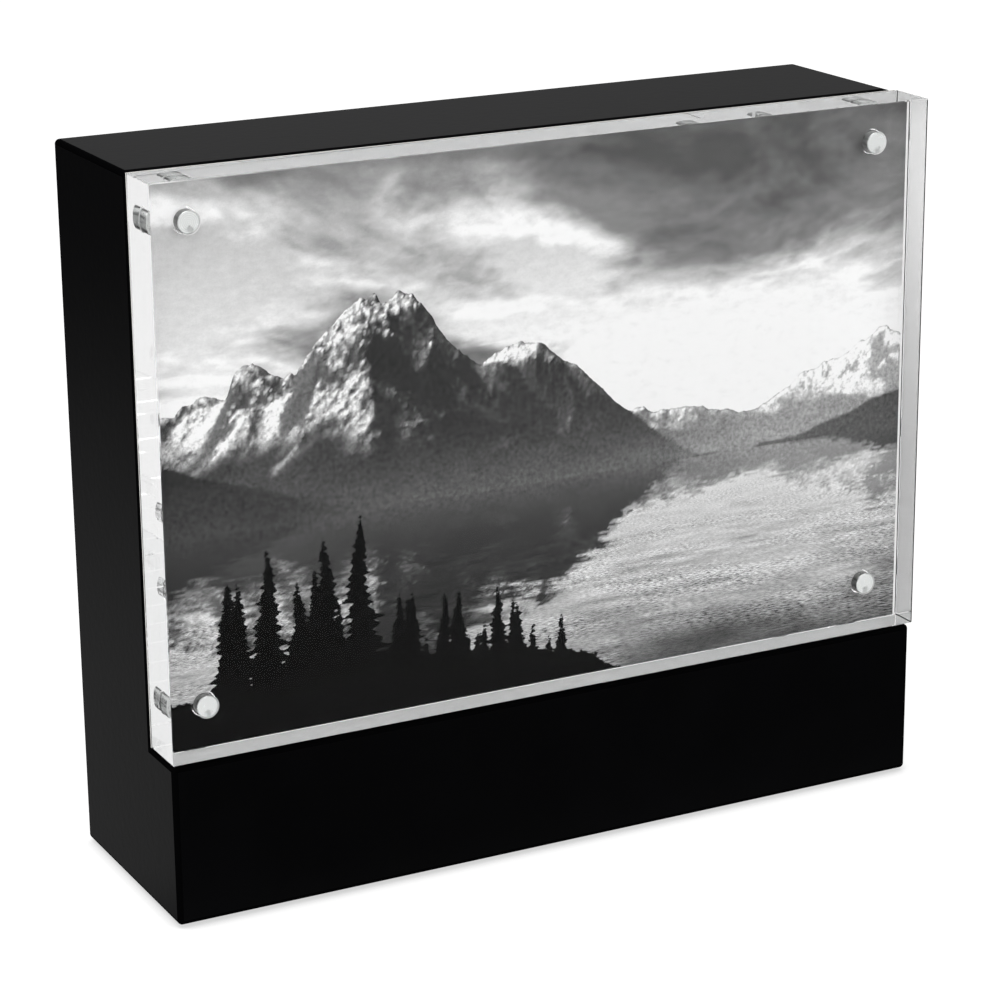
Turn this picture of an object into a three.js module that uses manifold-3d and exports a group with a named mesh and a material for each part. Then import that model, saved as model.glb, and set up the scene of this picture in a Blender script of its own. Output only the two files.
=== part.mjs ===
// A free-standing photo block. A black painted block has a low rail along its front, whose top is a ledge.
// A thick clear acrylic panel stands on the ledge and covers a 6 by 4 inch print that stands behind it.
// Round magnets near the panel's corners pull on a second set in the block, and clamp the print between.
// Millimetres, +Z up, +X to the right, the front faces -Y. The origin is the centre of the footprint.

import * as THREE from 'three';
import { RoundedBoxGeometry } from 'three/addons/geometries/RoundedBoxGeometry.js';
import { mergeVertices } from 'three/addons/utils/BufferGeometryUtils.js';
import Module from 'manifold-3d';

const wasm = await Module();
wasm.setup();

// The print, which sets the size of the panel and of the block
const printWidth = 152.4;
const printHeight = 101.6;
const printThickness = 0.3;
const printClearance = 0.15;

// The acrylic panel
const panelThickness = 10;
const panelEdgeBreak = 0.35;
const panelRightOverhang = 0.65;
const ledgeGap = 0.3;

// The block: two boards and a rail, glued face to face
const blockTrim = 0.5;
const rearBoardThickness = 25;
const faceBoardThickness = 9;
const railHeight = 29.6;
const glueLine = 0.1;
const blockEdgeRadius = 0.9;

// The magnets and their blind holes
const magnetDiameter = 4;
const magnetLength = 3;
const magnetChamfer = 0.25;
const magnetRecess = 0.1;
const magnetHoleClearance = 0.15;
const magnetHoleEndGap = 0.2;
const magnetInsetSide = 8.4;
const magnetInsetEnd = 8.1;

// The felt pads
const padDiameter = 12;
const padThickness = 0.5;
const padInset = 12;

// Facets of a round edge and of a round piece
const roundSteps = 4;
const aroundSteps = 40;

// What follows from the sizes above
const panelWidth = printWidth;
const panelHeight = printHeight;
const printSlot = printThickness + 2 * printClearance;
const railThickness = panelThickness + printSlot - glueLine;
const blockWidth = panelWidth - blockTrim;
const boardStack = faceBoardThickness + glueLine + rearBoardThickness;
const totalDepth = panelThickness + printSlot + boardStack;

// Planes across the depth, from the front to the rear
const frontY = -totalDepth / 2;
const panelRearY = frontY + panelThickness;
const faceBoardY = panelRearY + printSlot;
const rearBoardY = faceBoardY + faceBoardThickness + glueLine;
const blockRearY = rearBoardY + rearBoardThickness;

// Heights, from the surface that the block stands on
const blockBaseZ = padThickness;
const ledgeZ = blockBaseZ + railHeight;
const panelBaseZ = ledgeZ + ledgeGap;
const panelTopZ = panelBaseZ + panelHeight;
const blockTopZ = panelTopZ;

// The panel reaches past the block's right side, so the block sits left of the middle by half of that
const blockX = -panelRightOverhang / 2;
const blockLeftX = blockX - blockWidth / 2;
const blockRightX = blockX + blockWidth / 2;
const panelX = blockRightX + panelRightOverhang - panelWidth / 2;

const paintedBoard = new THREE.MeshStandardMaterial({ color: 0x101011, roughness: 0.55, metalness: 0 });
const clearAcrylic = new THREE.MeshStandardMaterial({
  color: 0xf4f6f6,
  roughness: 0.05,
  metalness: 0,
  transparent: true,
  opacity: 0.25,
});
const nickelPlate = new THREE.MeshStandardMaterial({ color: 0xc9c9c6, roughness: 0.28, metalness: 1 });
const photoPaper = new THREE.MeshStandardMaterial({ color: 0x8a8a8a, roughness: 0.35, metalness: 0 });
const blackFelt = new THREE.MeshStandardMaterial({ color: 0x1a1a1b, roughness: 0.95, metalness: 0 });

// A geometry as a solid that can be joined and cut
function solidOf(geometry) {
  const bare = geometry.clone();
  bare.deleteAttribute('normal');
  bare.deleteAttribute('uv');
  const merged = mergeVertices(bare);
  return new wasm.Manifold(new wasm.Mesh({
    numProp: 3,
    vertProperties: new Float32Array(merged.attributes.position.array),
    triVerts: new Uint32Array(merged.index.array),
  }));
}

// A solid as a geometry again
function geometryOf(solid) {
  const mesh = solid.getMesh();
  const geometry = new THREE.BufferGeometry();
  geometry.setAttribute('position', new THREE.BufferAttribute(mesh.vertProperties, 3));
  geometry.setIndex(new THREE.BufferAttribute(mesh.triVerts, 1));
  geometry.computeVertexNormals();
  return geometry;
}

// A box between two corners, its edges rounded where a radius is given
function boxBetween(low, high, radius = 0) {
  const size = high.map((value, axis) => value - low[axis]);
  const geometry = radius > 0
    ? new RoundedBoxGeometry(...size, roundSteps, radius)
    : new THREE.BoxGeometry(...size);
  geometry.translate(...low.map((value, axis) => value + size[axis] / 2));
  return geometry;
}

// A round piece along Y, its front face at the origin, both rims chamfered
function roundPiece(diameter, length, chamfer) {
  const radius = diameter / 2;
  const profile = [
    [0, 0],
    [radius - chamfer, 0],
    [radius, chamfer],
    [radius, length - chamfer],
    [radius - chamfer, length],
    [0, length],
  ].map(([r, y]) => new THREE.Vector2(r, y));
  return new THREE.LatheGeometry(profile, aroundSteps);
}

// The four magnet places, named as seen from the front
const magnetPlaces = ['top', 'bottom'].flatMap((row) => ['left', 'right'].map((side) => ({
  name: `${row}_${side}`,
  x: panelX + (side === 'left' ? -1 : 1) * (panelWidth / 2 - magnetInsetSide),
  z: row === 'top' ? panelTopZ - magnetInsetEnd : panelBaseZ + magnetInsetEnd,
})));

// The blind holes of one magnet set, which run from nearY to farY and may start outside the piece
function magnetHoles(nearY, farY) {
  const radius = magnetDiameter / 2 + magnetHoleClearance;
  return magnetPlaces.map(({ x, z }) => {
    const hole = new THREE.CylinderGeometry(radius, radius, farY - nearY, aroundSteps);
    hole.translate(x, (nearY + farY) / 2, z);
    return solidOf(hole);
  });
}

function cutAll(solid, cutters) {
  return cutters.reduce((rest, cutter) => rest.subtract(cutter), solid);
}

function named(name, geometry, material, position = [0, 0, 0]) {
  const mesh = new THREE.Mesh(geometry, material);
  mesh.name = name;
  mesh.position.set(...position);
  return mesh;
}

// How far a cutter runs past the face that it cuts
const cutterReach = 1;
const holeDepth = magnetRecess + magnetLength + magnetHoleEndGap;

// The block as one eased L-shaped body: the upright, and the rail that is rooted in it
function blockBody() {
  const upright = boxBetween([blockLeftX, faceBoardY, blockBaseZ],
    [blockRightX, blockRearY, blockTopZ], blockEdgeRadius);
  const rail = boxBetween([blockLeftX, frontY, blockBaseZ],
    [blockRightX, faceBoardY + faceBoardThickness, ledgeZ], blockEdgeRadius);
  return solidOf(upright).add(solidOf(rail));
}

// The slice of the block between two planes across its depth
function blockSlice(body, fromY, toY) {
  const low = [blockLeftX - cutterReach, fromY, blockBaseZ - cutterReach];
  const high = [blockRightX + cutterReach, toY, blockTopZ + cutterReach];
  return body.intersect(solidOf(boxBetween(low, high)));
}

function makeBlock() {
  const block = new THREE.Group();
  const body = blockBody();
  const rail = blockSlice(body, frontY - cutterReach, frontY + railThickness);
  const faceBoard = cutAll(blockSlice(body, faceBoardY, faceBoardY + faceBoardThickness),
    magnetHoles(faceBoardY - cutterReach, faceBoardY + holeDepth));
  const rearBoard = blockSlice(body, rearBoardY, blockRearY + cutterReach);
  block.add(named('front_rail', geometryOf(rail), paintedBoard));
  block.add(named('face_board', geometryOf(faceBoard), paintedBoard));
  block.add(named('rear_board', geometryOf(rearBoard), paintedBoard));

  for (const { name, x, z } of magnetPlaces) {
    block.add(named(`block_magnet_${name}`, roundPiece(magnetDiameter, magnetLength, magnetChamfer),
      nickelPlate, [x, faceBoardY + magnetRecess, z]));
  }
  return block;
}

// Felt discs under the corners of the block
function makePads() {
  const pads = new THREE.Group();
  for (const side of ['left', 'right']) {
    for (const end of ['front', 'rear']) {
      const x = blockX + (side === 'left' ? -1 : 1) * (blockWidth / 2 - padInset);
      const y = end === 'front' ? frontY + padInset : blockRearY - padInset;
      const disc = new THREE.CylinderGeometry(padDiameter / 2, padDiameter / 2, padThickness, aroundSteps);
      disc.rotateX(Math.PI / 2);
      pads.add(named(`felt_pad_${end}_${side}`, disc, blackFelt, [x, y, padThickness / 2]));
    }
  }
  return pads;
}

function makePanel() {
  const panel = new THREE.Group();
  const slab = solidOf(boxBetween([panelX - panelWidth / 2, frontY, panelBaseZ],
    [panelX + panelWidth / 2, panelRearY, panelTopZ], panelEdgeBreak));
  const drilled = cutAll(slab, magnetHoles(panelRearY - holeDepth, panelRearY + cutterReach));
  panel.add(named('acrylic_panel', geometryOf(drilled), clearAcrylic));
  for (const { name, x, z } of magnetPlaces) {
    panel.add(named(`panel_magnet_${name}`, roundPiece(magnetDiameter, magnetLength, magnetChamfer),
      nickelPlate, [x, panelRearY - magnetRecess - magnetLength, z]));
  }
  return panel;
}

function makePrint() {
  const sheet = new THREE.BoxGeometry(printWidth, printThickness, printHeight);
  const y = panelRearY + printClearance + printThickness / 2;
  return named('photo_print', sheet, photoPaper, [panelX, y, panelBaseZ + printHeight / 2]);
}

const photoBlock = new THREE.Group();
photoBlock.add(makeBlock());
photoBlock.add(makePads());
photoBlock.add(makePanel());
photoBlock.add(makePrint());

export default photoBlock;
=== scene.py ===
"""Looks of a magnetic photo block: a clear acrylic panel on a black painted block, with a print between them.

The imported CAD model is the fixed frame. Each piece here is a surface worked out with numpy from the CAD
nodes' boxes, in metres, and rides on the CAD body that carries it.
"""

import math

import bmesh
import bpy
import numpy as np
from mathutils import Matrix, Vector


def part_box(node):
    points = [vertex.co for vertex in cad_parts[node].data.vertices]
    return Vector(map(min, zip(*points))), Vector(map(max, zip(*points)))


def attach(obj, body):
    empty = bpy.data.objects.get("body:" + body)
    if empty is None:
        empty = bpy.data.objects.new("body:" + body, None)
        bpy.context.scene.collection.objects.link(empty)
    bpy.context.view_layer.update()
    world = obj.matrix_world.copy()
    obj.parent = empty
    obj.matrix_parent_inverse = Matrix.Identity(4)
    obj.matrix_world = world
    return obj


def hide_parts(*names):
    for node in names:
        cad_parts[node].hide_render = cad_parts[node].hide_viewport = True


bl_info = {
    "name": "Photo Block",
    "version": (1, 0, 0),
    "blender": (4, 5, 0),
    "location": "View3D > Sidebar > Photo Block",
    "description": "Builds the pieces, finishes and studio of a magnetic acrylic photo block",
    "category": "Object",
}

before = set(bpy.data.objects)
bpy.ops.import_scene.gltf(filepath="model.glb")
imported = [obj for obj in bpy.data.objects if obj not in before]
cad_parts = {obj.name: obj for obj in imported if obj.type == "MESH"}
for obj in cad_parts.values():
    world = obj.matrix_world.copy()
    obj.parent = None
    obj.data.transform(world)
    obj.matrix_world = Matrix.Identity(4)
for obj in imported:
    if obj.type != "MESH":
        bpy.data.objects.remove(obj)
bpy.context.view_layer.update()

MM = 0.001
BOARDS = ["rear_board", "face_board", "front_rail"]
MAGNET_PLACES = [f"{row}_{side}" for row in ("top", "bottom") for side in ("left", "right")]
PAD_PLACES = [f"{end}_{side}" for end in ("front", "rear") for side in ("left", "right")]


# Sizes read from the frame

def node_box(name):
    """Lowest and highest corner of a CAD node as two numpy arrays, in metres."""
    low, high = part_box(name)
    return np.array(low), np.array(high)


def joined_box(names):
    """Lowest and highest corner of several CAD nodes together."""
    lows, highs = zip(*[node_box(name) for name in names])
    return np.min(lows, axis=0), np.max(highs, axis=0)


# Mesh helpers

def grid_faces(rows, columns, closed=False):
    """Quads of a rows by columns grid of points, as an array of four indices each.

    Point (i, j) has index i * columns + j. In a closed grid the last column joins the first."""
    i, j = np.meshgrid(np.arange(rows - 1), np.arange(columns if closed else columns - 1), indexing="ij")
    i, j = i.ravel(), j.ravel()
    down, right = i + 1, (j + 1) % columns
    corners = ((i, j), (i, right), (down, right), (down, j))
    return np.stack([row * columns + column for row, column in corners], axis=1)


def linked(name, data):
    """A new object with this data, in the scene."""
    made = bpy.data.objects.new(name, data)
    bpy.context.scene.collection.objects.link(made)
    return made


def mesh_object(name, points, quads, caps=(), smooth=True):
    """A mesh object from an array of points, an array of quads and a list of flat caps of any length."""
    faces = [tuple(face) for face in quads.tolist()] + [tuple(cap) for cap in caps]
    mesh = bpy.data.meshes.new(name)
    mesh.from_pydata(points.reshape(-1, 3).tolist(), [], faces)
    flags = np.full(len(faces), smooth)
    flags[len(quads):] = False
    mesh.polygons.foreach_set("use_smooth", flags)
    mesh.validate()
    mesh.update()
    return linked(name, mesh)


def object_from(work, name):
    """Turns a bmesh into an object."""
    mesh = bpy.data.meshes.new(name)
    work.to_mesh(mesh)
    work.free()
    return linked(name, mesh)


def vertex_points(piece):
    """The piece's vertices as an array of points."""
    points = np.zeros(len(piece.data.vertices) * 3)
    piece.data.vertices.foreach_get("co", points)
    return points.reshape(-1, 3)


def facing_out(piece):
    """Turns all faces of a closed mesh outwards."""
    work = bmesh.new()
    work.from_mesh(piece.data)
    bmesh.ops.recalc_face_normals(work, faces=work.faces)
    work.to_mesh(piece.data)
    work.free()
    return piece


def turned(name, profile, centre, steps, axis="Y"):
    """A closed body turned about Y or Z through centre.

    The profile is a list of (radius, height) whose ends lie on the axis: they are the middles of the flat
    ends, and each point between them becomes a ring."""
    radius, height = np.transpose(profile)[..., None]
    angle = np.linspace(0, 2 * np.pi, steps, endpoint=False)
    across, along = radius * np.cos(angle), radius * np.sin(angle)
    height = np.broadcast_to(height, across.shape)
    order = (across, height, along) if axis == "Y" else (across, along, height)
    rings = np.stack(order, axis=-1) + centre
    points = np.concatenate([rings[1:-1].reshape(-1, 3), rings[[0, -1], 0]])
    rows = len(profile) - 2
    quads = grid_faces(rows, steps, closed=True)
    pole, last_ring = rows * steps, (rows - 1) * steps
    pairs = [(a, (a + 1) % steps) for a in range(steps)]
    fans = [(pole, b, a) for a, b in pairs]
    fans += [(pole + 1, last_ring + a, last_ring + b) for a, b in pairs]
    piece = mesh_object(name, points, quads, fans)
    piece.data.shade_smooth()
    return facing_out(piece)


def arc(centre, radius, start, end, steps):
    """Points of a round corner from one angle to another, in degrees, both ends included."""
    angle = np.radians(np.linspace(start, end, steps + 1))
    return np.stack([centre[0] + radius * np.cos(angle), centre[1] + radius * np.sin(angle)], axis=1)


# Material helpers

def colour(hex_code):
    """A hex sRGB colour as linear red, green, blue and alpha."""
    parts = [int(hex_code.lstrip("#")[i:i + 2], 16) / 255 for i in (0, 2, 4)]
    return tuple(c / 12.92 if c <= 0.04045 else ((c + 0.055) / 1.055) ** 2.4 for c in parts) + (1.0,)


def toned(base, level):
    """A colour times a level, as red, green, blue and alpha."""
    return [min(part * level, 1.0) for part in base] + [1.0]


def set_inputs(tree, node, inputs):
    """Links each input that is given as a socket, and sets any other.

    Inputs are a dict by name, or a tuple in the order of the node's sockets."""
    for key, value in inputs.items() if isinstance(inputs, dict) else enumerate(inputs):
        if isinstance(value, bpy.types.NodeSocket):
            tree.links.new(value, node.inputs[key])
        else:
            node.inputs[key].default_value = value


def add_node(tree, kind, inputs=(), output=0, **settings):
    """Adds a shader node with its settings and inputs, and returns one of its outputs."""
    node = tree.nodes.new("ShaderNode" + kind)
    for key, value in settings.items():
        setattr(node, key, value)
    set_inputs(tree, node, inputs)
    return node.outputs[output]


def new_material(name, inputs):
    """A material whose Principled shader has these inputs. Returns the material, its tree and the shader."""
    material = bpy.data.materials.new(name)
    material.use_nodes = True
    tree = material.node_tree
    shader = tree.nodes["Principled BSDF"]
    set_inputs(tree, shader, inputs)
    return material, tree, shader


def calculate(tree, operation, *values):
    """One step of arithmetic."""
    return add_node(tree, "Math", values, operation=operation)


def mix(tree, factor, first, second, kind="RGBA"):
    """A blend of two colours, or of two values where kind is FLOAT."""
    return add_node(tree, "Mix", {"Factor": factor, "A": first, "B": second}, "Result", data_type=kind)


def ramp(tree, value, low, high, bottom, top):
    """A value from bottom to top as the input goes from low to high, eased at both ends."""
    return add_node(tree, "MapRange", (value, low, high, bottom, top), "Result",
                    interpolation_type="SMOOTHSTEP")


def add_noise(tree, vector, scale, detail, stretch=None, roughness=0.5):
    """Noise from 0 to 1 over a vector, which is first multiplied by stretch."""
    if stretch:
        vector = add_node(tree, "Mapping", {"Vector": vector, "Scale": stretch}, "Vector")
    return add_node(tree, "TexNoise", {
        "Vector": vector, "Scale": scale, "Detail": detail, "Roughness": roughness}, "Fac")


def add_bump(tree, height, strength, distance):
    """The normal of a surface with a fine relief of this height."""
    return add_node(tree, "Bump", {"Height": height, "Strength": strength, "Distance": distance}, "Normal")


def object_point(tree):
    """The Object coordinates, in metres."""
    return add_node(tree, "TexCoord", output="Object")


def bounced_more_than(tree, count):
    """1 for light that has passed or mirrored in more surfaces than count since the eye, otherwise 0."""
    return calculate(tree, "GREATER_THAN", add_node(tree, "LightPath", output="Ray Depth"), count)


# The picture on the print: a mountain lake in black and white, worked out as arrays

# Picture coordinates: 1 is the print's height. X runs 0 to 1.5 from the left, Z 0 to 1 from the bottom
PICTURE_ASPECT = 1.5
VIEW_LENS = 1.25      # focal length of the drawn view, in print heights
HORIZON = 0.385
EYE_HEIGHT = 0.035    # kilometres above the lake
NEAREST, FARTHEST, SIGHT_STEPS = 2.4, 16.0, 620   # the land, in kilometres, and the steps across it
SUN = np.array([-0.835, -0.107, 0.539])


def chance(i, j, seed):
    """A number from 0 to 1 for each lattice point: its integers are multiplied by large primes and mixed."""
    n = i * np.uint32(374761393) + j * np.uint32(668265263) + np.uint32(seed * 974634777 & 0xFFFFFFFF)
    n = (n ^ (n >> np.uint32(13))) * np.uint32(1274126177)
    return ((n ^ (n >> np.uint32(16))) & np.uint32(0xFFFF)).astype(np.float32) / np.float32(65535)


def noise(x, y, seed):
    """Value noise and its two slopes: lattice numbers blended by the quintic 6t^5 - 15t^4 + 10t^3."""
    i, j = np.floor(x), np.floor(y)
    fx, fy = x - i, y - j
    i, j = i.astype(np.int32).view(np.uint32), j.astype(np.int32).view(np.uint32)
    one = np.uint32(1)
    ux, uy = (f ** 3 * (f * (f * 6 - 15) + 10) for f in (fx, fy))
    sx, sy = (30 * f ** 2 * (f * (f - 2) + 1) for f in (fx, fy))
    a, b = chance(i, j, seed), chance(i + one, j, seed)
    c, d = chance(i, j + one, seed), chance(i + one, j + one, seed)
    k = a - b - c + d
    return a + (b - a) * ux + (c - a) * uy + k * ux * uy, sx * (b - a + k * uy), sy * (c - a + k * ux)


def soft_noise(x, y, octaves, seed, gain=0.5):
    """Sum of noise octaves, each twice as fine and gain times as strong, scaled to 0 to 1."""
    total, weight, norm = 0.0, 1.0, 0.0
    for octave in range(octaves):
        total = total + weight * noise(x, y, seed + octave)[0]
        norm += weight
        weight *= gain
        x, y = 1.6 * x - 1.2 * y + 17.3, 1.2 * x + 1.6 * y - 9.1
    return total / norm


def eroded_noise(x, y, octaves, seed):
    """Noise octaves that fade where the sum is already steep, which leaves ridges and worn gullies."""
    total, weight, dx, dy = 0.0, 1.0, 0.0, 0.0
    for octave in range(octaves):
        n, nx, ny = noise(x, y, seed + octave)
        dx, dy = dx + nx, dy + ny
        total = total + weight * n / (1 + dx ** 2 + dy ** 2)
        weight *= 0.47
        x, y = 1.6 * x - 1.2 * y, 1.2 * x + 1.6 * y
    return total


def ease(low, high, value):
    """0 below low, 1 above high, and 3t^2 - 2t^3 between them."""
    t = np.clip((value - low) / (high - low), 0, 1)
    return t * t * (3 - 2 * t)


def bell(x, y, cx, cy, sx, sy):
    """A bell of height 1 about (cx, cy), with widths sx and sy."""
    return np.exp(-((x - cx) / sx) ** 2 - ((y - cy) / sy) ** 2)


def ground(x, y, octaves=9):
    """Height of the land in kilometres over the plan x, y: massifs and spurs as bells, times eroded noise."""
    rough = eroded_noise(x * 0.55 + 3.1, y * 0.55 + 1.7, octaves, 11)
    massif = sum(height * bell(x, y, *place) for height, place in (
        (3.35, (-1.9, 7.6, 1.30, 1.7)), (1.5, (-4.6, 8.4, 1.8, 1.6)), (1.25, (0.2, 8.6, 1.1, 1.6)),
        (1.0, (2.4, 12.5, 2.0, 1.8)), (1.5, (6.6, 12.5, 2.2, 2.0))))
    spurs = sum(height * bell(x, y, *place) for height, place in (
        (0.75, (-3.2, 3.9, 1.25, 0.9)), (0.55, (3.6, 5.0, 1.5, 0.8)), (0.22, (0.6, 6.2, 2.2, 0.5))))
    return massif * (0.42 + 0.62 * rough) + spurs * (0.5 + 0.5 * rough) - 0.10 + 0.05 * (rough - 0.5)


def draw_land(columns, row):
    """Tone of the land at each picture point, the skyline over each column, and where the lake is.

    A fan of sight lines, one a column, crosses the land in steps that grow with distance. The height seen
    at a step is the horizon plus lens times height over distance, and a point shows the first step that
    rises above it. Light is the slope's cosine to the sun, less the shadow of what stands sunward."""
    across = (np.arange(columns) + 0.5) / columns * PICTURE_ASPECT - PICTURE_ASPECT / 2
    far = NEAREST * (FARTHEST / NEAREST) ** np.linspace(0, 1, SIGHT_STEPS)
    far = far.astype(np.float32)[:, None]
    x, y = (across / VIEW_LENS * far).astype(np.float32), np.broadcast_to(far, (SIGHT_STEPS, columns))
    height = ground(x, y)
    aside = 0.012
    slope_x, slope_y = (ground(x + aside, y) - height) / aside, (ground(x, y + aside) - height) / aside
    length = np.sqrt(1 + slope_x ** 2 + slope_y ** 2)
    light = np.clip((-slope_x * SUN[0] - slope_y * SUN[1] + SUN[2]) / length, 0, 1)
    shade = np.zeros_like(height)
    for step in (0.04, 0.10, 0.2, 0.38, 0.7, 1.2):
        rise = ground(x + SUN[0] * step, y + SUN[1] * step, 5) - (height + SUN[2] * step)
        shade = np.maximum(shade, ease(-0.02, 0.03, rise))
    light *= 1 - 0.85 * shade
    # Rock, with woods low down and snow where it is high and flat, in haze that is thick near the ground
    patch = soft_noise(x * 3, y * 3, 4, 71) - 0.5
    snow = ease(0.50, 0.66, 1 / length + 0.25 * patch + 0.10 * (height - 1.0))
    snow = snow * ease(0.55, 1.05, height + 0.7 * patch)
    wood = ease(0.75, 0.45, height + 0.5 * patch)
    albedo = 0.11 + 0.08 * patch
    albedo += (0.022 - albedo) * wood
    albedo += (0.95 - albedo) * snow
    tone = albedo * (0.05 + 1.75 * light)
    haze = 1 - np.exp(-(far - 2.0) * (0.008 + 0.040 * np.exp(-np.clip(height, 0, 9) / 0.30)))
    haze = np.clip(haze + 0.30 * ease(0.0, 6.0, x) * ease(6, 13, y), 0, 0.96)
    tone += (0.80 - tone) * haze
    # The first step that each point shows
    wet = height < 0
    seen = HORIZON + VIEW_LENS * (np.where(wet, 0, height) - EYE_HEIGHT) / far
    skyline = np.maximum.accumulate(seen, axis=0)
    lane = 10.0 * np.arange(columns)
    first = np.searchsorted((skyline + lane).T.ravel(), (row[:, None] + lane).ravel())
    column = np.arange(columns)[None]
    first = np.clip(first.reshape(row.size, columns) - column * SIGHT_STEPS, 0, SIGHT_STEPS - 1)
    near_water = row[:, None] < skyline[0][None]
    return tone[first, column], skyline[-1], wet[first, column] | near_water


def draw_sky(X, Z):
    """Tone of the sky: banks of cloud on a plane overhead in perspective, dark where thick, with lit rims."""
    up = np.clip(Z - HORIZON, 0.004, 1) + 0.16
    u, v = (X - 0.70) / up * 0.75, 0.62 / up
    warp_u = soft_noise(u * 1.1 + 5, v * 1.6, 4, 31) - 0.5
    warp_v = soft_noise(u * 1.1 - 8, v * 1.6 + 4, 4, 41) - 0.5
    bias = (0.055 * ease(0.55, 1.0, Z) - 0.15 * bell(X, Z, 1.0, 0.54, 0.50, 0.17)
            - 0.10 * bell(X, Z, 0.16, 0.82, 0.26, 0.16) + 0.045 * bell(X, Z, 1.18, 0.95, 0.4, 0.22))

    def density(du, dv):
        a, b = u + du + 0.42 * warp_u, (v + dv) * 1.7 + 0.42 * warp_v
        return (bias + 0.58 * soft_noise(a * 0.8 + 2, b * 0.8 + 3, 3, 153)
                + 0.42 * soft_noise(a * 2.1, b * 2.1, 7, 57, 0.6))

    thick = density(0, 0)
    lit = np.clip(0.50 + 8.0 * (thick - density(0.03, 0.10)), 0, 1)
    clear = 0.92 - 0.42 * ease(HORIZON + 0.1, 1.0, Z) + 0.2 * bell(X, Z, 1.0, HORIZON + 0.08, 0.55, 0.26)
    cloud = 0.06 + (1.0 - 0.86 * ease(0.49, 0.67, thick)) * (0.26 + 1.0 * lit)
    tone = clear + (cloud - clear) * ease(0.475, 0.55, thick)
    mist = 0.6 * np.exp(-np.clip(Z - HORIZON, 0, 1) / 0.05)
    return np.minimum(tone + (0.95 - tone) * mist, 0.97)


def draw_shore(X, Z):
    """Signed distance into the near shore and its conifers, in print heights, positive inside.

    A conifer is a spire whose half width grows as height below its tip to the power 0.85. It is notched
    into tiers of boughs, each side and tier with a length of its own, that widen downwards and then step
    back. The bank's edge is soft noise."""
    bank = (0.043 + 0.070 * bell(X, 0 * X, 0.36, 0, 0.36, 1) - 0.07 * ease(0.70, 1.05, X)
            + 0.055 * (soft_noise(X * 8, 0 * X, 6, 7, 0.6) - 0.5))
    inside = bank - Z
    draw = np.random.default_rng(21)
    # A tall group on the left, a lower one to its right, and small trees all along
    middles = [draw.normal(0.27, 0.075, 16), draw.normal(0.56, 0.10, 16), draw.uniform(0.0, 0.92, 18)]
    tall = [draw.uniform(0.09, 0.27, 16), draw.uniform(0.05, 0.15, 16), draw.uniform(0.02, 0.06, 18)]
    for tree, (middle, height) in enumerate(zip(np.concatenate(middles), np.concatenate(tall))):
        window = slice(*np.searchsorted(X[0], (middle - 0.09, middle + 0.09)))
        x, z = X[:, window], Z[:, window]
        foot = np.interp(middle, X[0], bank[0]) - 0.02
        below = np.clip((foot + height - z) / height, 0, 1)
        offset = x - middle - 0.010 * height * np.sin(9 * below + tree)
        tiers = below * (7 + 46 * height) + 0.35 * (offset > 0)
        tier = np.floor(tiers)
        bough = chance(tier.astype(np.uint32), (offset > 0).astype(np.uint32), 300 + tree)
        reach = (0.42 + 0.58 * (tiers - tier)) * (0.62 + 0.60 * bough)
        width = 0.0012 + 0.185 * height ** 0.92 * below ** 0.85 * reach
        spire = np.where(below > 0, width - np.abs(offset), -np.hypot(offset, z - foot - height))
        inside[:, window] = np.maximum(inside[:, window], spire * 0.9)
    return inside


def draw_landscape(columns, rows, over=2):
    """The picture's parts at columns by rows points: land tone, sky tone, distances to skyline and shore.

    They are drawn over times finer and averaged."""
    wide, high = columns * over, rows * over
    row = (np.arange(high) + 0.5) / high
    X, Z = np.meshgrid((np.arange(wide) + 0.5) / wide * PICTURE_ASPECT, row)
    X, Z = X.astype(np.float32), Z.astype(np.float32)
    land, skyline, wet = draw_land(wide, row)
    sky = draw_sky(X, Z)
    whole = np.where(Z > skyline[None], sky, land)
    # The lake mirrors the picture about the horizon, shaken by ripples that grow towards the near shore
    down = np.clip(HORIZON - Z, 0.004, 1)
    u, v = (X - 0.75) / down, 1 / down
    ripple = soft_noise(u * 2.2, v * 7.0, 5, 83, 0.6) - 0.5
    calm = ease(-0.02, 0.12, soft_noise(u * 0.5 + 9, v * 1.3, 3, 91) - 0.5)
    reach = (0.02 + 0.42 * down) * (0.35 + 0.9 * (1 - calm))
    mirror_z = 2 * HORIZON - Z + 0.010 + ripple * reach
    mirror_x = X + (soft_noise(u * 2.2 + 40, v * 6, 3, 97) - 0.5) * 0.05
    mirror_row = np.clip((mirror_z * high).astype(int), 0, high - 1)
    mirror_column = np.clip((mirror_x / PICTURE_ASPECT * wide).astype(int), 0, wide - 1)
    lake = whole[mirror_row, mirror_column] * (0.40 + 0.52 * np.exp(-down / 0.16)) + 0.012
    lake = lake * (1 + 1.5 * ripple * ease(0.02, 0.2, down))
    land = np.where(wet, lake, land)
    ridge = Z - skyline[None]
    shore = draw_shore(X, Z)
    return [part.reshape(rows, over, columns, over).mean(axis=(1, 3)) for part in (land, sky, ridge, shore)]


# Settings that a user would change

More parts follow.
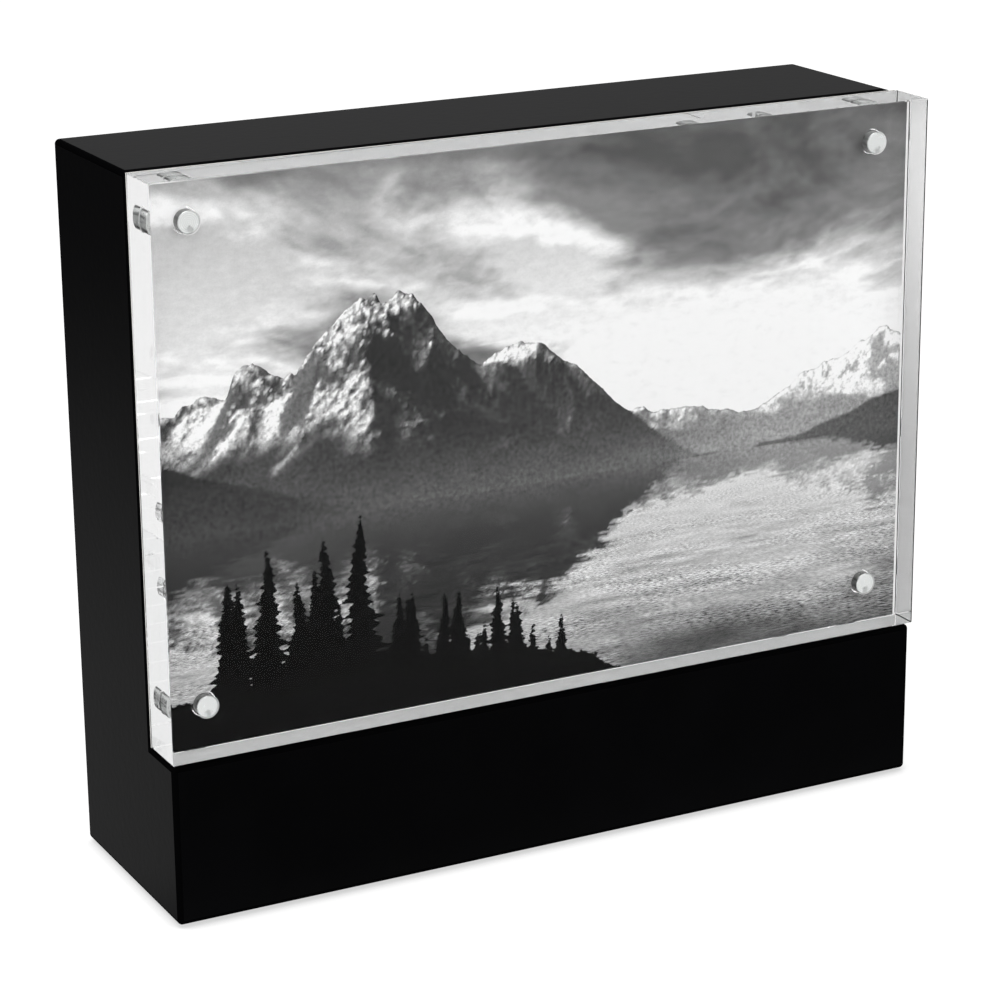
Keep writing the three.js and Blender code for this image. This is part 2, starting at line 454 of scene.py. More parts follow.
class PhotoBlockSettings(bpy.types.PropertyGroup):
    """Sizes and colours of the photo block's finish."""

    edge_radius: bpy.props.FloatProperty(
        name="Block edge radius", description="Radius of the painted block's eased edges",
        default=0.0009, min=0.0002, max=0.003, unit="LENGTH")
    panel_arris: bpy.props.FloatProperty(
        name="Panel arris", description="Width of the chamfer along the panel's edges",
        default=0.00016, min=0.0001, max=0.001, unit="LENGTH")
    lacquer: bpy.props.FloatVectorProperty(
        name="Lacquer", description="Colour of the block's satin lacquer",
        default=colour("#08080a")[:3], min=0, max=1, subtype="COLOR")
    lacquer_roughness: bpy.props.FloatProperty(
        name="Lacquer roughness", description="Roughness of the satin lacquer",
        default=0.32, min=0, max=1, subtype="FACTOR")
    nickel: bpy.props.FloatVectorProperty(
        name="Nickel", description="Colour of the magnets' nickel plate",
        default=colour("#e4e6e5")[:3], min=0, max=1, subtype="COLOR")
    lamp_power: bpy.props.FloatProperty(
        name="Softbox power", description="Power of the softbox above the block",
        default=6.0, min=0, max=100, unit="POWER")


def settings():
    """The add-on's settings in the open scene."""
    return bpy.context.scene.photo_block


# Finishes

ACRYLIC_INDEX = 1.49
WHITE = colour("#ffffff")

# On a magnet, in millimetres from the middle of its end
RING_PITCH = 0.32
RIM_START, RIM_END = 1.90, 1.96
# Middle of a darker patch low on each end, at the same place on every magnet
LOW_DARK_SPOT = (0.15, 0, -1.25)


def satin_lacquer():
    """Black lacquer sprayed on MDF, low in sheen: a faint orange peel, and a tone that drifts a little."""
    look = settings()
    material, tree, shader = new_material("sprayed black lacquer", {
        "Roughness": look.lacquer_roughness, "Specular IOR Level": 0.14})
    place = object_point(tree)
    drift = add_noise(tree, place, 60.0, 4.0)
    peel = add_noise(tree, place, 700.0, 2.0)
    set_inputs(tree, shader, {
        "Base Color": mix(tree, drift, toned(look.lacquer, 0.7), toned(look.lacquer, 1.3)),
        "Normal": add_bump(tree, peel, 0.5, 0.05 * MM)})
    return material


def shade_painted_lacquer():
    """The same lacquer on the block's eased edges and on a strip of the upright's top, made dead matt and
    black, with no gleam along them: painted shade.
    """
    return new_material("lacquer painted black as shade", {
        "Base Color": colour("#040405"), "Roughness": 0.8, "Specular IOR Level": 0.02})[0]


def polished_acrylic():
    """Cast acrylic with polished faces: clear, with the sharp reflections of its index.

    The tint keeps the reflection of a face seen straight on as weak as the photograph's light made it."""
    return new_material("polished cast acrylic", {
        "Base Color": WHITE, "Roughness": 0.0, "IOR": ACRYLIC_INDEX, "Transmission Weight": 1.0,
        "Specular Tint": colour("#444444")})[0]


def sanded_acrylic():
    """The panel's lower edge, fine sanded where the ledge hides it.

    From inside it is white and cloudy seen steeply, and mirrors like the polished edges seen along it, as a
    finely rubbed surface does."""
    material, tree, shader = new_material("fine sanded acrylic edge", {
        "IOR": ACRYLIC_INDEX, "Specular IOR Level": 0.2})
    grit = add_noise(tree, object_point(tree), 1800.0, 3.0)
    along = add_node(tree, "LayerWeight", output="Facing")
    set_inputs(tree, shader, {
        "Base Color": mix(tree, grit, colour("#eceeee"), WHITE),
        "Metallic": ramp(tree, along, 0.45, 0.65, 0.0, 1.0),
        "Roughness": ramp(tree, along, 0.45, 0.65, 0.55, 0.0)})
    return material


def scraped_arris():
    """An upright edge at the panel's right, scraped: a fine grey line, lost in white after reflections."""
    material, tree, shader = new_material("scraped acrylic arris", {
        "Roughness": 0.0, "IOR": ACRYLIC_INDEX, "Specular IOR Level": 0.1})
    bounced = bounced_more_than(tree, 1.5)
    set_inputs(tree, shader, {
        "Base Color": mix(tree, bounced, colour("#303333"), WHITE), "Transmission Weight": bounced})
    return material


def clear_adhesive():
    """The wall of a magnet's hole, wetted by clear adhesive, so that the metal shows with no film of air."""
    return new_material("clear adhesive", {
        "Base Color": WHITE, "Roughness": 0.0, "IOR": 1.0, "Transmission Weight": 1.0})[0]


def nickel_plate():
    """Nickel plate on a magnet: a ground end with faint turned rings and a darker patch low down, and a
    duller wall.

    The wall has streaks along the axis, as a centreless ground one has. Its dark tone is partly painted
    shade: a painted highlight makes it bright on its upper side, and painted shade makes it dark where it is
    seen along the surface. After many reflections the magnet fades."""
    look = settings()
    material, tree, shader = new_material("nickel plate", {"Metallic": 1.0})

    def shade(factor, dark, light):
        return mix(tree, factor, toned(look.nickel, dark), toned(look.nickel, light))

    place = object_point(tree)
    spot = add_node(tree, "Attribute", output="Vector", attribute_name="from_axis")
    reach = add_node(tree, "VectorMath", (spot,), "Value", operation="LENGTH")
    # The end: turned rings, and a darker patch low down
    rings = calculate(tree, "SINE", calculate(tree, "MULTIPLY", reach, 2 * math.pi / RING_PITCH))
    marks = add_noise(tree, place, 1500.0, 3.0)
    from_patch = add_node(tree, "VectorMath", (spot, LOW_DARK_SPOT), "Value", operation="DISTANCE")
    low_dark_patch = ramp(tree, calculate(tree, "MULTIPLY_ADD", marks, 1.6, from_patch), 1.0, 1.7, 1.0, 0.0)
    end = mix(tree, low_dark_patch, shade(ramp(tree, rings, -1, 1, 0, 1), 0.94, 1.14), shade(marks, 0.55, 0.8))
    # The wall: ground streaks, darkened by painted shade, with a painted highlight above and painted shade
    # where seen along it
    streaks = add_noise(tree, place, 1400.0, 2.0, (1, 0.15, 1))
    # Painted highlight: the wall is lighter on its upper side
    painted_light_above = ramp(tree, add_node(tree, "SeparateXYZ", (spot,), "Z"), 0.8, 1.6, 0.0, 1.0)
    # Painted shade: the wall goes nearly black where it is seen along its surface
    along = ramp(tree, add_node(tree, "LayerWeight", output="Facing"), 0.45, 0.62, 0.0, 0.8)
    wall = shade(ramp(tree, streaks, 0.38, 0.62, 0.0, 1.0), 0.15, 0.62)
    wall = mix(tree, painted_light_above, wall, shade(streaks, 0.8, 1.0))
    wall = mix(tree, along, wall, colour("#0c0d0d"))
    base = mix(tree, ramp(tree, reach, RIM_START, RIM_END, 0.0, 1.0), end, wall)
    relief = calculate(tree, "MULTIPLY_ADD", rings, 1.5, marks)
    set_inputs(tree, shader, {
        "Base Color": mix(tree, bounced_more_than(tree, 10.5), base, WHITE),
        "Roughness": ramp(tree, marks, 0.3, 0.7, 0.27, 0.35),
        "Normal": add_bump(tree, relief, 0.06, 0.02 * MM)})
    return material


def photo_paper_back():
    """The white back of photo paper: smooth and slightly warm, with a trace of fibre."""
    material, tree, shader = new_material("photo paper back", {"Roughness": 0.6, "Specular IOR Level": 0.2})
    fibre = add_noise(tree, object_point(tree), 900.0, 4.0)
    set_inputs(tree, shader, {"Base Color": mix(tree, fibre, colour("#e2e1dc"), colour("#f4f3ef"))})
    return material


def photo_surface():
    """A black-and-white photograph on glossy paper: the picture's arrays, with edges and grain drawn fine.

    Noise of 0.3 mm sharpens the skyline, of 1 mm the boughs, and streaks in perspective the ripples."""
    material, tree, shader = new_material("glossy photo paper", {
        "Roughness": 0.3, "Specular IOR Level": 0.04})

    def read(name, output="Fac"):
        return add_node(tree, "Attribute", output=output, attribute_name=name)

    def calc(operation, *values):
        return calculate(tree, operation, *values)

    def swing(vector, scale, detail, stretch=None, roughness=0.5):
        """Noise about zero."""
        return calc("SUBTRACT", add_noise(tree, vector, scale, detail, stretch, roughness), 0.5)

    def blend(factor, first, second):
        return mix(tree, factor, first, second, "FLOAT")

    place = object_point(tree)
    lake = read("lake_place", "Vector")
    # The land with its crags, and the sky with its wisps
    ridge = calc("MULTIPLY_ADD", swing(place, 3000.0, 2.0), 0.3, read("ridge"))
    crag = calc("MULTIPLY", swing(place, 1300.0, 4.0, roughness=0.6), 1.7)
    crag = calc("MULTIPLY", crag, calc("SUBTRACT", 1.0, read("lake_depth")))
    land = calc("MULTIPLY_ADD", read("land"), crag, read("land"))
    wisp = calc("MULTIPLY_ADD", swing(place, 420.0, 5.0, (1, 1, 2), 0.6), 0.35, 1.0)
    tone = blend(ramp(tree, ridge, -0.09, 0.09, 0.0, 1.0), land, calc("MULTIPLY", read("sky"), wisp))
    # The lake's ripples, stronger where there is wind
    gusts = add_noise(tree, lake, 0.9, 2.0, (1, 1.8, 1))
    wind = add_node(tree, "MapRange", (gusts, 0.42, 0.58, 2.4, 7.0), "Result")
    ripple = calc("MULTIPLY", swing(lake, 26.0, 4.0, (1, 2.5, 1), 0.7), wind)
    ripple = calc("MULTIPLY", ripple, read("lake_depth"))
    tone = calc("MULTIPLY_ADD", tone, ripple, tone)
    # The conifers' boughs
    leaf = swing(place, 1100.0, 4.0, (1, 1, 2.2), 0.65)
    boughs = ramp(tree, calc("MULTIPLY_ADD", leaf, 1.9, read("shore")), -0.08, 0.08, 0.0, 1.0)
    needles = calc("MAXIMUM", calc("MULTIPLY_ADD", leaf, 0.03, 0.002), 0.001)
    tone = blend(boughs, tone, needles)
    # The film's grain, within the tones that the paper can show, and the white margin
    tone = calc("MULTIPLY", tone, calc("MULTIPLY_ADD", swing(place, 5200.0, 1.0), 0.22, 1.0))
    tone = calc("MINIMUM", calc("MAXIMUM", tone, 0.001), 0.95)
    tone = blend(read("margin"), tone, 0.97)
    # Light that has bounced about in the panel meets plain paper: no picture shows in the photographed edges.
    # What is mirrored there is duller towards the paper's foot, which the ledge shades
    height = add_node(tree, "SeparateXYZ", (place,), "Z")
    dull = ramp(tree, height, 0.055, 0.125, 0.55, 0.80)
    scattered = calc("GREATER_THAN", add_node(tree, "LightPath", output="Diffuse Depth"), 0.5)
    tone = blend(bounced_more_than(tree, 2.5), tone, blend(scattered, dull, 0.92))
    grey = add_node(tree, "CombineColor", (tone, tone, tone), "Color")
    set_inputs(tree, shader, {"Base Color": grey})
    return material


def black_felt():
    """Thin needled felt: no sheen but the light that its fibres catch."""
    return new_material("needled felt", {
        "Base Color": colour("#161617"), "Roughness": 0.95, "Sheen Weight": 0.3})[0]


# Pieces

# Facets of an eased edge, of a round thing seen through the acrylic, and of the others
EDGE_STEPS, FINE_ROUND, PLAIN_ROUND = 8, 96, 64

# A strip of painted shade, black and matt like the eased edges
SHADE_STRIP = 1.2 * MM   # of the upright's top behind its front edge, as matt as the edges
LACQUERED, PAINTED_SHADE = range(2)

# The block's pockets, bored from in front of the upright to a little behind the magnet
POCKET_CLEARANCE = 0.15 * MM
POCKET_FRONT = 1.25 * MM
POCKET_END = 0.25 * MM

# The panel's edges and holes, and its materials in their order on the piece
WIDE_ARRIS = 2.2          # the front's right one, in widths of the others
HOLE_CLEARANCE = 0.15 * MM
HOLE_END = 0.2 * MM
HOLE_MOUTH = 0.18 * MM
HOLE_FILLET = 0.12 * MM
POLISHED, SANDED, GLUED, SCRAPED = range(4)

MAGNET_RIM = 0.25 * MM
PAD_EDGE = 0.12 * MM

# The print's grid. Its last columns are set close, and the white margin is right of the last but one
PRINT_COLUMNS, PRINT_ROWS = 378, 252
MARGIN_COLUMNS = np.array([1.0, 0.75, 0.55, 0.5]) * MM
PRINT_FACE, PRINT_BACK = range(2)


def ledge_profile(low, high, step_y, ledge_z, radius):
    """The block's side outline in Y and Z, with its outward normals.

    It runs counter-clockwise round the L: rear bottom, rear top, the line where the strip of painted shade on
    the top begins, upright's front top, inner corner, ledge's front, front bottom. Convex corners are arcs of
    the edge radius, given by centre and angles. The line and the inner corner are a point and its normal."""
    rear, front, base, top = high[1], low[1], low[2], high[2]
    corners = [
        ((rear - radius, base + radius), -90, 0),
        ((rear - radius, top - radius), 0, 90),
        ((step_y + radius + SHADE_STRIP, top), (0.0, 1.0)),
        ((step_y + radius, top - radius), 90, 180),
        ((step_y, ledge_z), (-1.0, 1.0)),
        ((front + radius, ledge_z - radius), 90, 180),
        ((front + radius, base + radius), 180, 270),
    ]
    points, normals = [], []
    for corner in corners:
        if len(corner) == 2:
            points.append([corner[0]])
            normals.append([corner[1]])
            continue
        centre, start, end = corner
        round_points = arc(centre, radius, start, end, EDGE_STEPS)
        points.append(round_points)
        normals.append((round_points - centre) / radius)
    return np.concatenate(points), np.concatenate(normals)


def make_block():
    """The painted block as one skin: the L outline carried along X, drawn in round each end."""
    low, high = joined_box(BOARDS)
    step_y = node_box("face_board")[0][1]
    ledge_z = node_box("front_rail")[1][2]
    radius = settings().edge_radius
    outline, normals = ledge_profile(low, high, step_y, ledge_z, radius)
    turn = np.radians(np.linspace(90, 0, EDGE_STEPS + 1))
    inset = radius * (1 - np.cos(turn))
    reach = radius * (1 - np.sin(turn))
    along = np.concatenate([low[0] + reach, (high[0] - reach)[::-1]])
    drawn = np.concatenate([inset, inset[::-1]])
    section = outline[None] - drawn[:, None, None] * normals[None]
    points = np.insert(section, 0, along[:, None], axis=2)
    rows, columns = points.shape[:2]
    quads = grid_faces(rows, columns, closed=True)
    ends = [range(columns), range((rows - 1) * columns, rows * columns)]
    skin = facing_out(mesh_object("painted_block", points, quads, ends))
    flat_large_faces(skin, radius)
    drill_pockets(skin)
    # The eased edges, and the strip behind the upright's front top edge, take the black matt lacquer: painted
    # shade
    for face in skin.data.polygons:
        strip = face.normal.z > 0.99 and face.center.z > ledge_z + radius
        strip = strip and face.center.y < step_y + radius + SHADE_STRIP
        face.material_index = PAINTED_SHADE if face.use_smooth or strip else LACQUERED
    return skin


def flat_large_faces(piece, radius):
    """Shades each face flat whose shortest edge is longer than an eased edge's facet."""
    points = vertex_points(piece)
    for face in piece.data.polygons:
        loop = points[list(face.vertices)]
        edges = np.linalg.norm(loop - np.roll(loop, -1, axis=0), axis=1)
        face.use_smooth = bool(len(loop) == 4 and edges.min() < 0.5 * radius)


def drill_pockets(skin):
    """Cuts the four blind magnet pockets into the upright's front face."""
    work = bmesh.new()
    for place in MAGNET_PLACES:
        low, high = node_box(f"block_magnet_{place}")
        radius = (high[0] - low[0]) / 2 + POCKET_CLEARANCE
        front, end = low[1] - POCKET_FRONT, high[1] + POCKET_END
        middle = (low + high) / 2
        middle[1] = (front + end) / 2
        bmesh.ops.create_cone(
            work, cap_ends=True, segments=PLAIN_ROUND, radius1=radius, radius2=radius, depth=end - front,
            matrix=Matrix.Translation(middle) @ Matrix.Rotation(math.radians(90), 4, "X"))
    cutter = object_from(work, "pocket_cutters")
    cut = skin.modifiers.new("pockets", "BOOLEAN")
    cut.operation, cut.solver, cut.object = "DIFFERENCE", "EXACT", cutter
    finished = bpy.data.meshes.new_from_object(skin.evaluated_get(bpy.context.evaluated_depsgraph_get()))
    skin.modifiers.clear()
    skin.data = finished
    skin.data.name = "painted_block"
    bpy.data.objects.remove(cutter)


def chamfered_ring(low, high, inset, right_inset, corner):
    """The eight corners of an upright rectangle drawn in by its insets, its own corners cut by corner."""
    x0, x1 = low[0] + inset, high[0] - right_inset
    z0, z1 = low[2] + inset, high[2] - inset
    return np.array([
        [x0 + corner, z0], [x1 - corner, z0], [x1, z0 + corner], [x1, z1 - corner],
        [x1 - corner, z1], [x0 + corner, z1], [x0, z1 - corner], [x0, z0 + corner]])


def bridge(work, near, far):
    """The quads between two closed rings of vertices."""
    return [work.faces.new(quad) for quad in zip(near, near[1:] + near[:1], far[1:] + far[:1], far)]


def ring_edges(work, ring):
    """The edges of a closed ring of vertices."""
    return [work.edges.get(pair) for pair in zip(ring, ring[1:] + ring[:1])]


def drill_hole(work, place, rear_y):
    """Adds a magnet's blind hole: a chamfered mouth, a wall, a small fillet and a flat floor.

    Returns the ring of its mouth, and the faces that the adhesive wets."""
    low, high = node_box(f"panel_magnet_{place}")
    centre = (low + high) / 2
    radius = (high[0] - low[0]) / 2 + HOLE_CLEARANCE
    floor_y = low[1] - HOLE_END
    angle = np.linspace(0, 2 * np.pi, FINE_ROUND, endpoint=False)
    fillet = arc((radius - HOLE_FILLET, floor_y + HOLE_FILLET), HOLE_FILLET, 0, -90, 3)
    levels = [(radius + HOLE_MOUTH, rear_y), (radius, rear_y - HOLE_MOUTH), *fillet]
    rings = []
    for ring_radius, y in levels:
        ring = np.stack([centre[0] + ring_radius * np.cos(angle), np.full(FINE_ROUND, y),
                         centre[2] + ring_radius * np.sin(angle)], axis=1)
        rings.append([work.verts.new(point) for point in ring])
    bridge(work, rings[0], rings[1])
    wet = [face for near, far in zip(rings[1:], rings[2:]) for face in bridge(work, near, far)]
    wet.append(work.faces.new(rings[-1]))
    return rings[0], wet


def make_panel():
    """The clear panel: a chamfered slab of four rings along Y, with four blind holes in its rear face.

    The rear face is filled between its outline and the hole mouths."""
    low, high = node_box("acrylic_panel")
    arris = settings().panel_arris
    work = bmesh.new()
    rows = []
    for y, inset, right in ((low[1], arris, WIDE_ARRIS * arris), (low[1] + arris, 0, 0),
                            (high[1] - arris, 0, 0), (high[1], arris, arris)):
        outline = chamfered_ring(low, high, inset, right, arris)
        rows.append([work.verts.new(point) for point in np.insert(outline, 1, y, axis=1)])
    for near, far in zip(rows, rows[1:]):
        bridge(work, near, far)
    work.faces.new(rows[0])
    rim = ring_edges(work, rows[-1])
    glued = set()
    for place in MAGNET_PLACES:
        mouth, wet = drill_hole(work, place, high[1])
        glued.update(wet)
        rim += ring_edges(work, mouth)
    bmesh.ops.triangle_fill(work, edges=rim, use_beauty=True)
    bmesh.ops.recalc_face_normals(work, faces=work.faces)
    for face in work.faces:
        face.material_index = GLUED if face in glued else panel_finish(face, arris)
    return object_from(work, "clear_panel")


def panel_finish(face, arris):
    """The finish of a face of the slab. An arris slopes, and is larger than the cuts of the corners."""
    if face.normal.z < -0.999:
        return SANDED
    sloping = 0.1 < face.normal.x < 0.99
    return SCRAPED if sloping and face.calc_area() > arris * MM else POLISHED


def magnet_profile(radius, length):
    """Radius and height of a magnet's outline: flat ends, rolled rims and a straight wall."""
    flat = [(part * (radius - MAGNET_RIM), 0.0) for part in (0.0, 0.35, 0.7, 0.96)]
    front = np.concatenate([flat, arc((radius - MAGNET_RIM, MAGNET_RIM), MAGNET_RIM, -90, 0, 6)])
    return np.concatenate([front, (front * (1, -1) + (0, length))[::-1]])


def make_magnet(name):
    """A magnet. Each vertex keeps its place across the axis, in millimetres, for the finish."""
    low, high = node_box(name)
    size, centre = high - low, (low + high) / 2
    centre[1] = low[1]
    piece = turned(f"plated_{name}", magnet_profile(size[0] / 2, size[1]), centre, FINE_ROUND)
    store(piece, "from_axis", "FLOAT_VECTOR", (vertex_points(piece) - centre) / MM * (1, 0, 1))
    return piece


def store(piece, name, kind, values):
    """Keeps an array of values on the piece's vertices as a named attribute."""
    layer = piece.data.attributes.new(name, kind, "POINT")
    layer.data.foreach_set("value" if kind == "FLOAT" else "vector", np.asarray(values, np.float32).ravel())


def make_print():
    """The print: a flat grid of points in front, the same outline behind, and a wall round the edge."""
    low, high = node_box("photo_print")
    columns, rows = PRINT_COLUMNS, PRINT_ROWS
    x, z = np.linspace(low[0], high[0], columns), np.linspace(low[2], high[2], rows)
    x[-5:-1] = x[-1] - MARGIN_COLUMNS
    grid = np.stack(np.meshgrid(x, z, indexing="xy"), axis=-1).reshape(-1, 2)
    front = np.insert(grid, 1, low[1], axis=1)
    number = np.arange(rows * columns).reshape(rows, columns)
    around = np.concatenate([number[0, :-1], number[:-1, -1], number[-1, :0:-1], number[:0:-1, 0]])
    back = np.insert(grid[around], 1, high[1], axis=1)
    behind = rows * columns + np.arange(len(around))
    walls = np.stack([np.roll(around, -1), around, behind, np.roll(behind, -1)], axis=1)
    quads = grid_faces(rows, columns)
    piece = mesh_object("photo_sheet", np.concatenate([front, back]), np.concatenate([quads, walls]),
                        [behind[::-1]], smooth=False)
    index = np.full(len(piece.data.polygons), PRINT_FACE, np.int32)
    index[len(quads):] = PRINT_BACK
    piece.data.polygons.foreach_set("material_index", index)
    keep_picture(piece, (grid - low[[0, 2]]) / (high[2] - low[2]), (high[2] - low[2]) / MM, len(around))
    return piece


def keep_picture(piece, spots, tall, others):
    """Stores the picture on the print's front vertices, and zero on the others.

    Spots are the vertices in picture coordinates, and tall is the print's height in millimetres, the unit of
    the distances above the skyline and into the near shore. The place on the lake is in perspective."""
    land, sky, ridge, shore = draw_landscape(PRINT_COLUMNS, PRINT_ROWS)
    X, Z = spots.T
    down = np.clip(HORIZON - Z, 0, 1)
    margin = np.zeros((PRINT_ROWS, PRINT_COLUMNS))
    margin[:, -2:] = 1
    lake_place = np.stack([(X - 0.75) / (down + 0.05), 1 / (down + 0.05), 0 * X], axis=1)
    stored = {"land": land, "sky": sky, "ridge": np.clip(ridge * tall, -2, 2), "margin": margin,
              "shore": np.clip(shore * tall, -3, 3), "lake_depth": ease(0.0, 0.08, down)}
    for name, values in stored.items():
        store(piece, name, "FLOAT", np.append(values, np.zeros(others)))
    store(piece, "lake_place", "FLOAT_VECTOR", np.append(lake_place, np.zeros((others, 3)), axis=0))


def make_pad(name):
    """A felt disc with soft edges."""
    low, high = node_box(name)
    radius, height = (high[0] - low[0]) / 2, high[2] - low[2]
    centre = (low + high) / 2
    centre[2] = low[2]
    profile = [(0, 0), (radius * 0.5, 0), (radius - PAD_EDGE, 0), (radius, PAD_EDGE),
               (radius, height - PAD_EDGE), (radius - PAD_EDGE, height), (radius * 0.5, height), (0, height)]
    return turned(name.replace("felt_pad", "felt_disc"), profile, centre, PLAIN_ROUND, axis="Z")


def finish_piece(piece, nodes, body, slot, *materials):
    """Gives a piece its materials and the body it moves with, and lets it stand for CAD nodes. Its slot is
    not used.
    """
    for material in materials:
        piece.data.materials.append(material)
    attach(piece, body)
    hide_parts(*nodes)


class PHOTOBLOCK_OT_block(bpy.types.Operator):
    """Add the painted block"""
    bl_idname = "photoblock.block"
    bl_label = "Painted Block"

    def execute(self, context):
        finish_piece(make_block(), BOARDS, "block", "painted_board", satin_lacquer(), shade_painted_lacquer())
        return {"FINISHED"}


class PHOTOBLOCK_OT_pads(bpy.types.Operator):
    """Add the felt discs under the block"""
    bl_idname = "photoblock.pads"
    bl_label = "Felt Discs"

    def execute(self, context):
        felt = black_felt()
        for place in PAD_PLACES:
            name = f"felt_pad_{place}"
            finish_piece(make_pad(name), [name], "block", "felt", felt)
        return {"FINISHED"}


class PHOTOBLOCK_OT_magnets(bpy.types.Operator):
    """Add the magnets of the block and of the panel"""
    bl_idname = "photoblock.magnets"
    bl_label = "Magnets"

    def execute(self, context):
        plate = nickel_plate()
        for body in ("block", "panel"):
            for place in MAGNET_PLACES:
                name = f"{body}_magnet_{place}"
                finish_piece(make_magnet(name), [name], body, "magnet_nickel", plate)
        return {"FINISHED"}


class PHOTOBLOCK_OT_print(bpy.types.Operator):
    """Add the photo print"""
    bl_idname = "photoblock.print"
    bl_label = "Photo Print"

    def execute(self, context):
        finish_piece(make_print(), ["photo_print"], "print", "photo_paper",
                     photo_surface(), photo_paper_back())
        return {"FINISHED"}


class PHOTOBLOCK_OT_panel(bpy.types.Operator):
    """Add the clear acrylic panel"""
    bl_idname = "photoblock.panel"
    bl_label = "Acrylic Panel"

    def execute(self, context):
        finish_piece(make_panel(), ["acrylic_panel"], "panel", "acrylic",
                     polished_acrylic(), sanded_acrylic(), clear_adhesive(), scraped_arris())
        return {"FINISHED"}


# The studio

PAPER = colour("#767676")        # of the floor
DARK_PAPER = colour("#242424")   # the same, in a reflection from outside
FLOOR_HALF = 4.0
SCREEN_WAY = (0.44, 0.85, 0.30)  # from the object to the white screen
SOFTBOX_PLACE, SOFTBOX_TARGET, SOFTBOX_SIZE = (-0.35, 0.10, 0.95), (0, 0, 0.05), 0.6
BOUNCES = 32


def ray_level(tree, seen, lighting, through, mirrored):
    """The strength of a surface that shines, by the light path that meets it.

    Seen is for the eye, straight or through clear acrylic. Lighting is for what falls on a matt surface, and
    through for such light that comes through the acrylic. Mirrored is for a reflection from outside."""
    camera, glass, diffuse = (
        add_node(tree, "LightPath", output=name)
        for name in ("Is Camera Ray", "Is Transmission Ray", "Diffuse Depth"))
    direct = mix(tree, calculate(tree, "MAXIMUM", camera, glass), mirrored, seen, "FLOAT")
    fallen = mix(tree, glass, lighting, through, "FLOAT")
    return mix(tree, calculate(tree, "GREATER_THAN", diffuse, 0.5), direct, fallen, "FLOAT")


def make_world():
    """A white surround. Reflections see a white screen behind, to the right, in an otherwise dim studio."""
    world = bpy.data.worlds.new("studio")
    bpy.context.scene.world = world
    world.use_nodes = True
    tree = world.node_tree
    way = add_node(tree, "TexCoord", output="Generated")
    facing = add_node(tree, "VectorMath", (way, SCREEN_WAY), "Value", operation="DOT_PRODUCT")
    screen = ramp(tree, facing, 0.84, 0.97, 0.05, 0.21)
    set_inputs(tree, tree.nodes["Background"], {
        "Color": WHITE, "Strength": ray_level(tree, 1.0, 0.90, 1.95, screen)})


def make_floor():
    """A wide pale floor, topped up to white where the camera looks at it, so that the contact shadow stays.

    Reflections see it bright close to the object's sides and back, and dim further off and in front."""
    points = np.array([[-1, -1, 0], [1, -1, 0], [1, 1, 0], [-1, 1, 0]]) * FLOOR_HALF
    floor = mesh_object("floor", points, np.array([[0, 1, 2, 3]]), smooth=False)
    material, tree, shader = new_material("matte paper floor", {
        "Roughness": 1.0, "Specular IOR Level": 0.0, "Emission Color": WHITE})
    place = object_point(tree)
    ahead = add_node(tree, "SeparateXYZ", (place,), "Y")
    away = add_node(tree, "VectorMath", (place,), "Value", operation="LENGTH")
    near = ramp(tree, away, 0.09, 0.55, 0.185, 0.0)
    mirrored = calculate(tree, "MULTIPLY", near, ramp(tree, ahead, -0.05, 0.01, 0.0, 1.0))
    through = ramp(tree, away, 0.10, 0.60, 0.6, 1.5)
    # A thin contact shadow, a few millimetres wide, along what stands on the paper
    contact = add_node(tree, "AmbientOcclusion", {"Distance": 3 * MM}, "AO", samples=8)
    glass = add_node(tree, "LightPath", output="Is Transmission Ray")
    glossy = add_node(tree, "LightPath", output="Is Glossy Ray")
    seen = mix(tree, glass, ramp(tree, contact, 0.35, 1.0, 0.62, 0.90), 0.78, "FLOAT")
    outside = calculate(tree, "SUBTRACT", glossy, glass)
    set_inputs(tree, shader, {
        "Base Color": mix(tree, outside, PAPER, DARK_PAPER),
        "Emission Strength": ray_level(tree, seen, 0.65, through, mirrored)})
    floor.data.materials.append(material)


def turn_towards(way):
    """The rotation that points a lamp or a camera along a direction."""
    return way.to_track_quat("-Z", "Y")


def add_softbox():
    """A square area lamp above, to the left. It isn't mirrored in the block's lacquer."""
    lamp = bpy.data.lights.new("softbox_above", "AREA")
    lamp.shape, lamp.size, lamp.energy = "SQUARE", SOFTBOX_SIZE, settings().lamp_power
    body = linked("softbox_above", lamp)
    body.location = SOFTBOX_PLACE
    body.rotation_euler = turn_towards(Vector(SOFTBOX_TARGET) - Vector(SOFTBOX_PLACE)).to_euler()
    body.visible_glossy = False


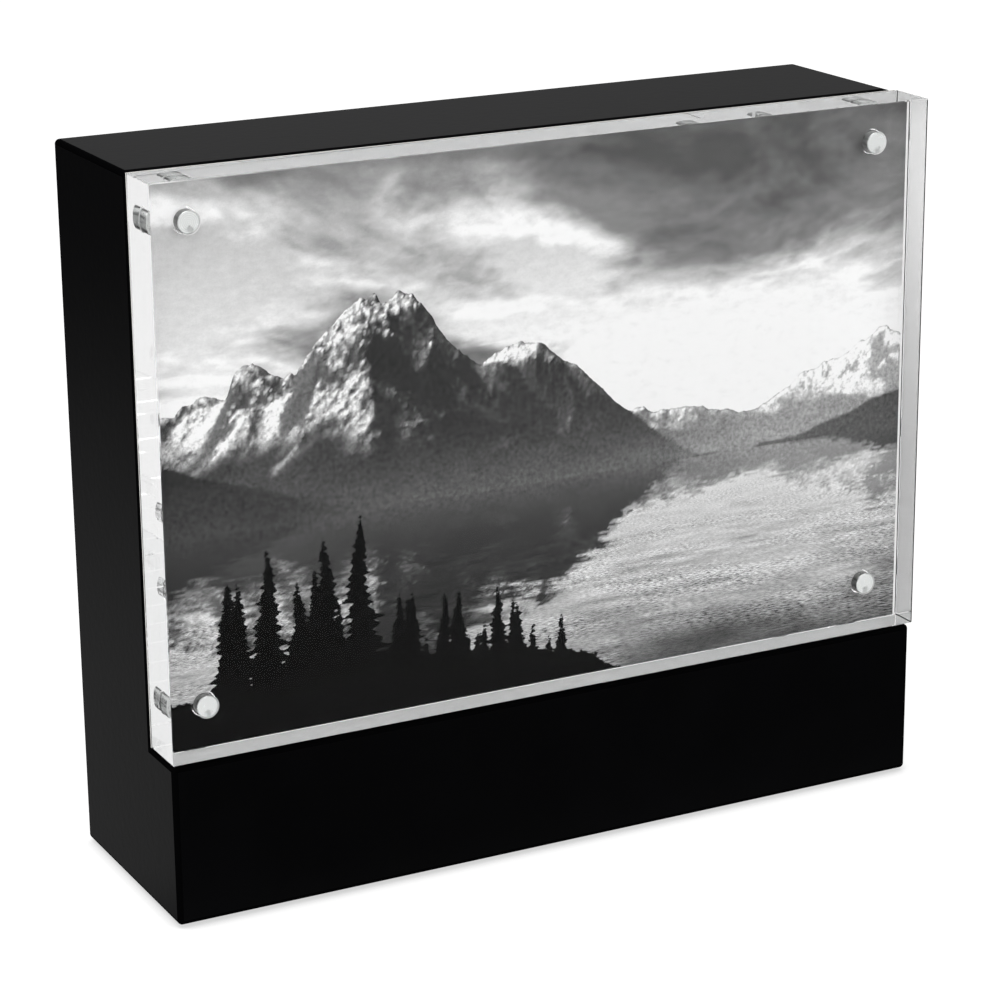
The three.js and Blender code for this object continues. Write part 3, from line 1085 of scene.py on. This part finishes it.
def make_camera():
    """The photograph's view: a long lens from the left front, a little above the block."""
    azimuth, elevation, roll = (math.radians(angle) for angle in (27.37, 17.45, -0.53))
    distance, target = 0.590, Vector((-0.0011, 0.0, 0.0608))
    level = math.cos(elevation)
    back = Vector((-math.sin(azimuth) * level, -math.cos(azimuth) * level, math.sin(elevation)))
    lens = bpy.data.cameras.new("camera")
    lens.lens, lens.sensor_width = 115, 36
    lens.clip_start, lens.clip_end = 0.01, 50
    body = linked("camera", lens)
    body.location = target + back * distance
    body.rotation_mode = "QUATERNION"
    body.rotation_quaternion = turn_towards(-back) @ Matrix.Rotation(roll, 3, "Z").to_quaternion()
    bpy.context.scene.camera = body


class PHOTOBLOCK_OT_studio(bpy.types.Operator):
    """Add the floor, the softbox, the world and the camera"""
    bl_idname = "photoblock.studio"
    bl_label = "Studio"

    def execute(self, context):
        scene = context.scene
        scene.view_settings.view_transform = "Standard"
        for kind in ("max", "glossy", "transmission"):
            setattr(scene.cycles, f"{kind}_bounces", BOUNCES)
        make_world()
        make_floor()
        add_softbox()
        make_camera()
        return {"FINISHED"}


class PHOTOBLOCK_PT_panel(bpy.types.Panel):
    """Buttons and settings of the photo block"""
    bl_label = "Photo Block"
    bl_space_type = "VIEW_3D"
    bl_region_type = "UI"
    bl_category = "Photo Block"

    def draw(self, context):
        for name in PhotoBlockSettings.__annotations__:
            self.layout.prop(context.scene.photo_block, name)
        for operator in OPERATORS:
            self.layout.operator(operator.bl_idname)


OPERATORS = (PHOTOBLOCK_OT_block, PHOTOBLOCK_OT_pads, PHOTOBLOCK_OT_magnets, PHOTOBLOCK_OT_print,
             PHOTOBLOCK_OT_panel, PHOTOBLOCK_OT_studio)
CLASSES = (PhotoBlockSettings, *OPERATORS, PHOTOBLOCK_PT_panel)


def register():
    for made in CLASSES:
        bpy.utils.register_class(made)
    bpy.types.Scene.photo_block = bpy.props.PointerProperty(type=PhotoBlockSettings)


def unregister():
    del bpy.types.Scene.photo_block
    for made in reversed(CLASSES):
        bpy.utils.unregister_class(made)


def main():
    register()
    for operator in OPERATORS:
        group, name = operator.bl_idname.split(".")
        getattr(getattr(bpy.ops, group), name)()


if __name__ == "__main__":
    main()
